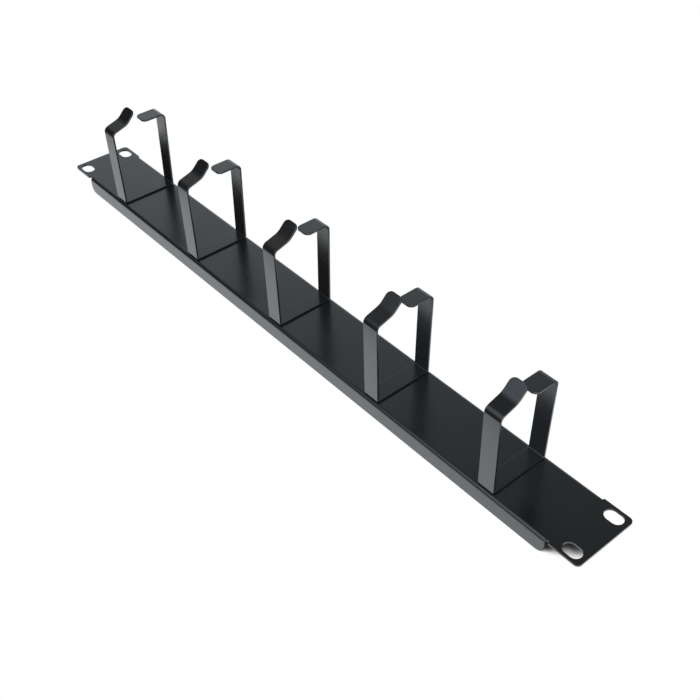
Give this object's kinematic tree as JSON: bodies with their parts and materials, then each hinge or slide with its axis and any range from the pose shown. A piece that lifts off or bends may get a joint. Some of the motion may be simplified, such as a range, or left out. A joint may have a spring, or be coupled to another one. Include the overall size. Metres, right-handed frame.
{
  "type": "horizontal cable manager",
  "caption": "Black one-unit rack panel of folded sheet steel with slotted ears and a row of open, square-sided cable rings bent from flat strap.",
  "frame": {"origin": "centre of the four mounting slots, on the panel's front face", "axes": "+X along the panel's length, +Y across its face from the rings' tongues to their lips, +Z out of the front face, the way the rings stand"},
  "size_m": [0.482, 0.0432, 0.0775],
  "materials": {
    "powder_coat": "satin black powder coat on steel"
  },
  "bodies": {
    "root": {"panel": "powder_coat", "cable_ring_1": "powder_coat", "cable_ring_2": "powder_coat", "cable_ring_3": "powder_coat", "cable_ring_4": "powder_coat", "cable_ring_5": "powder_coat"}
  },
  "joints": []
}
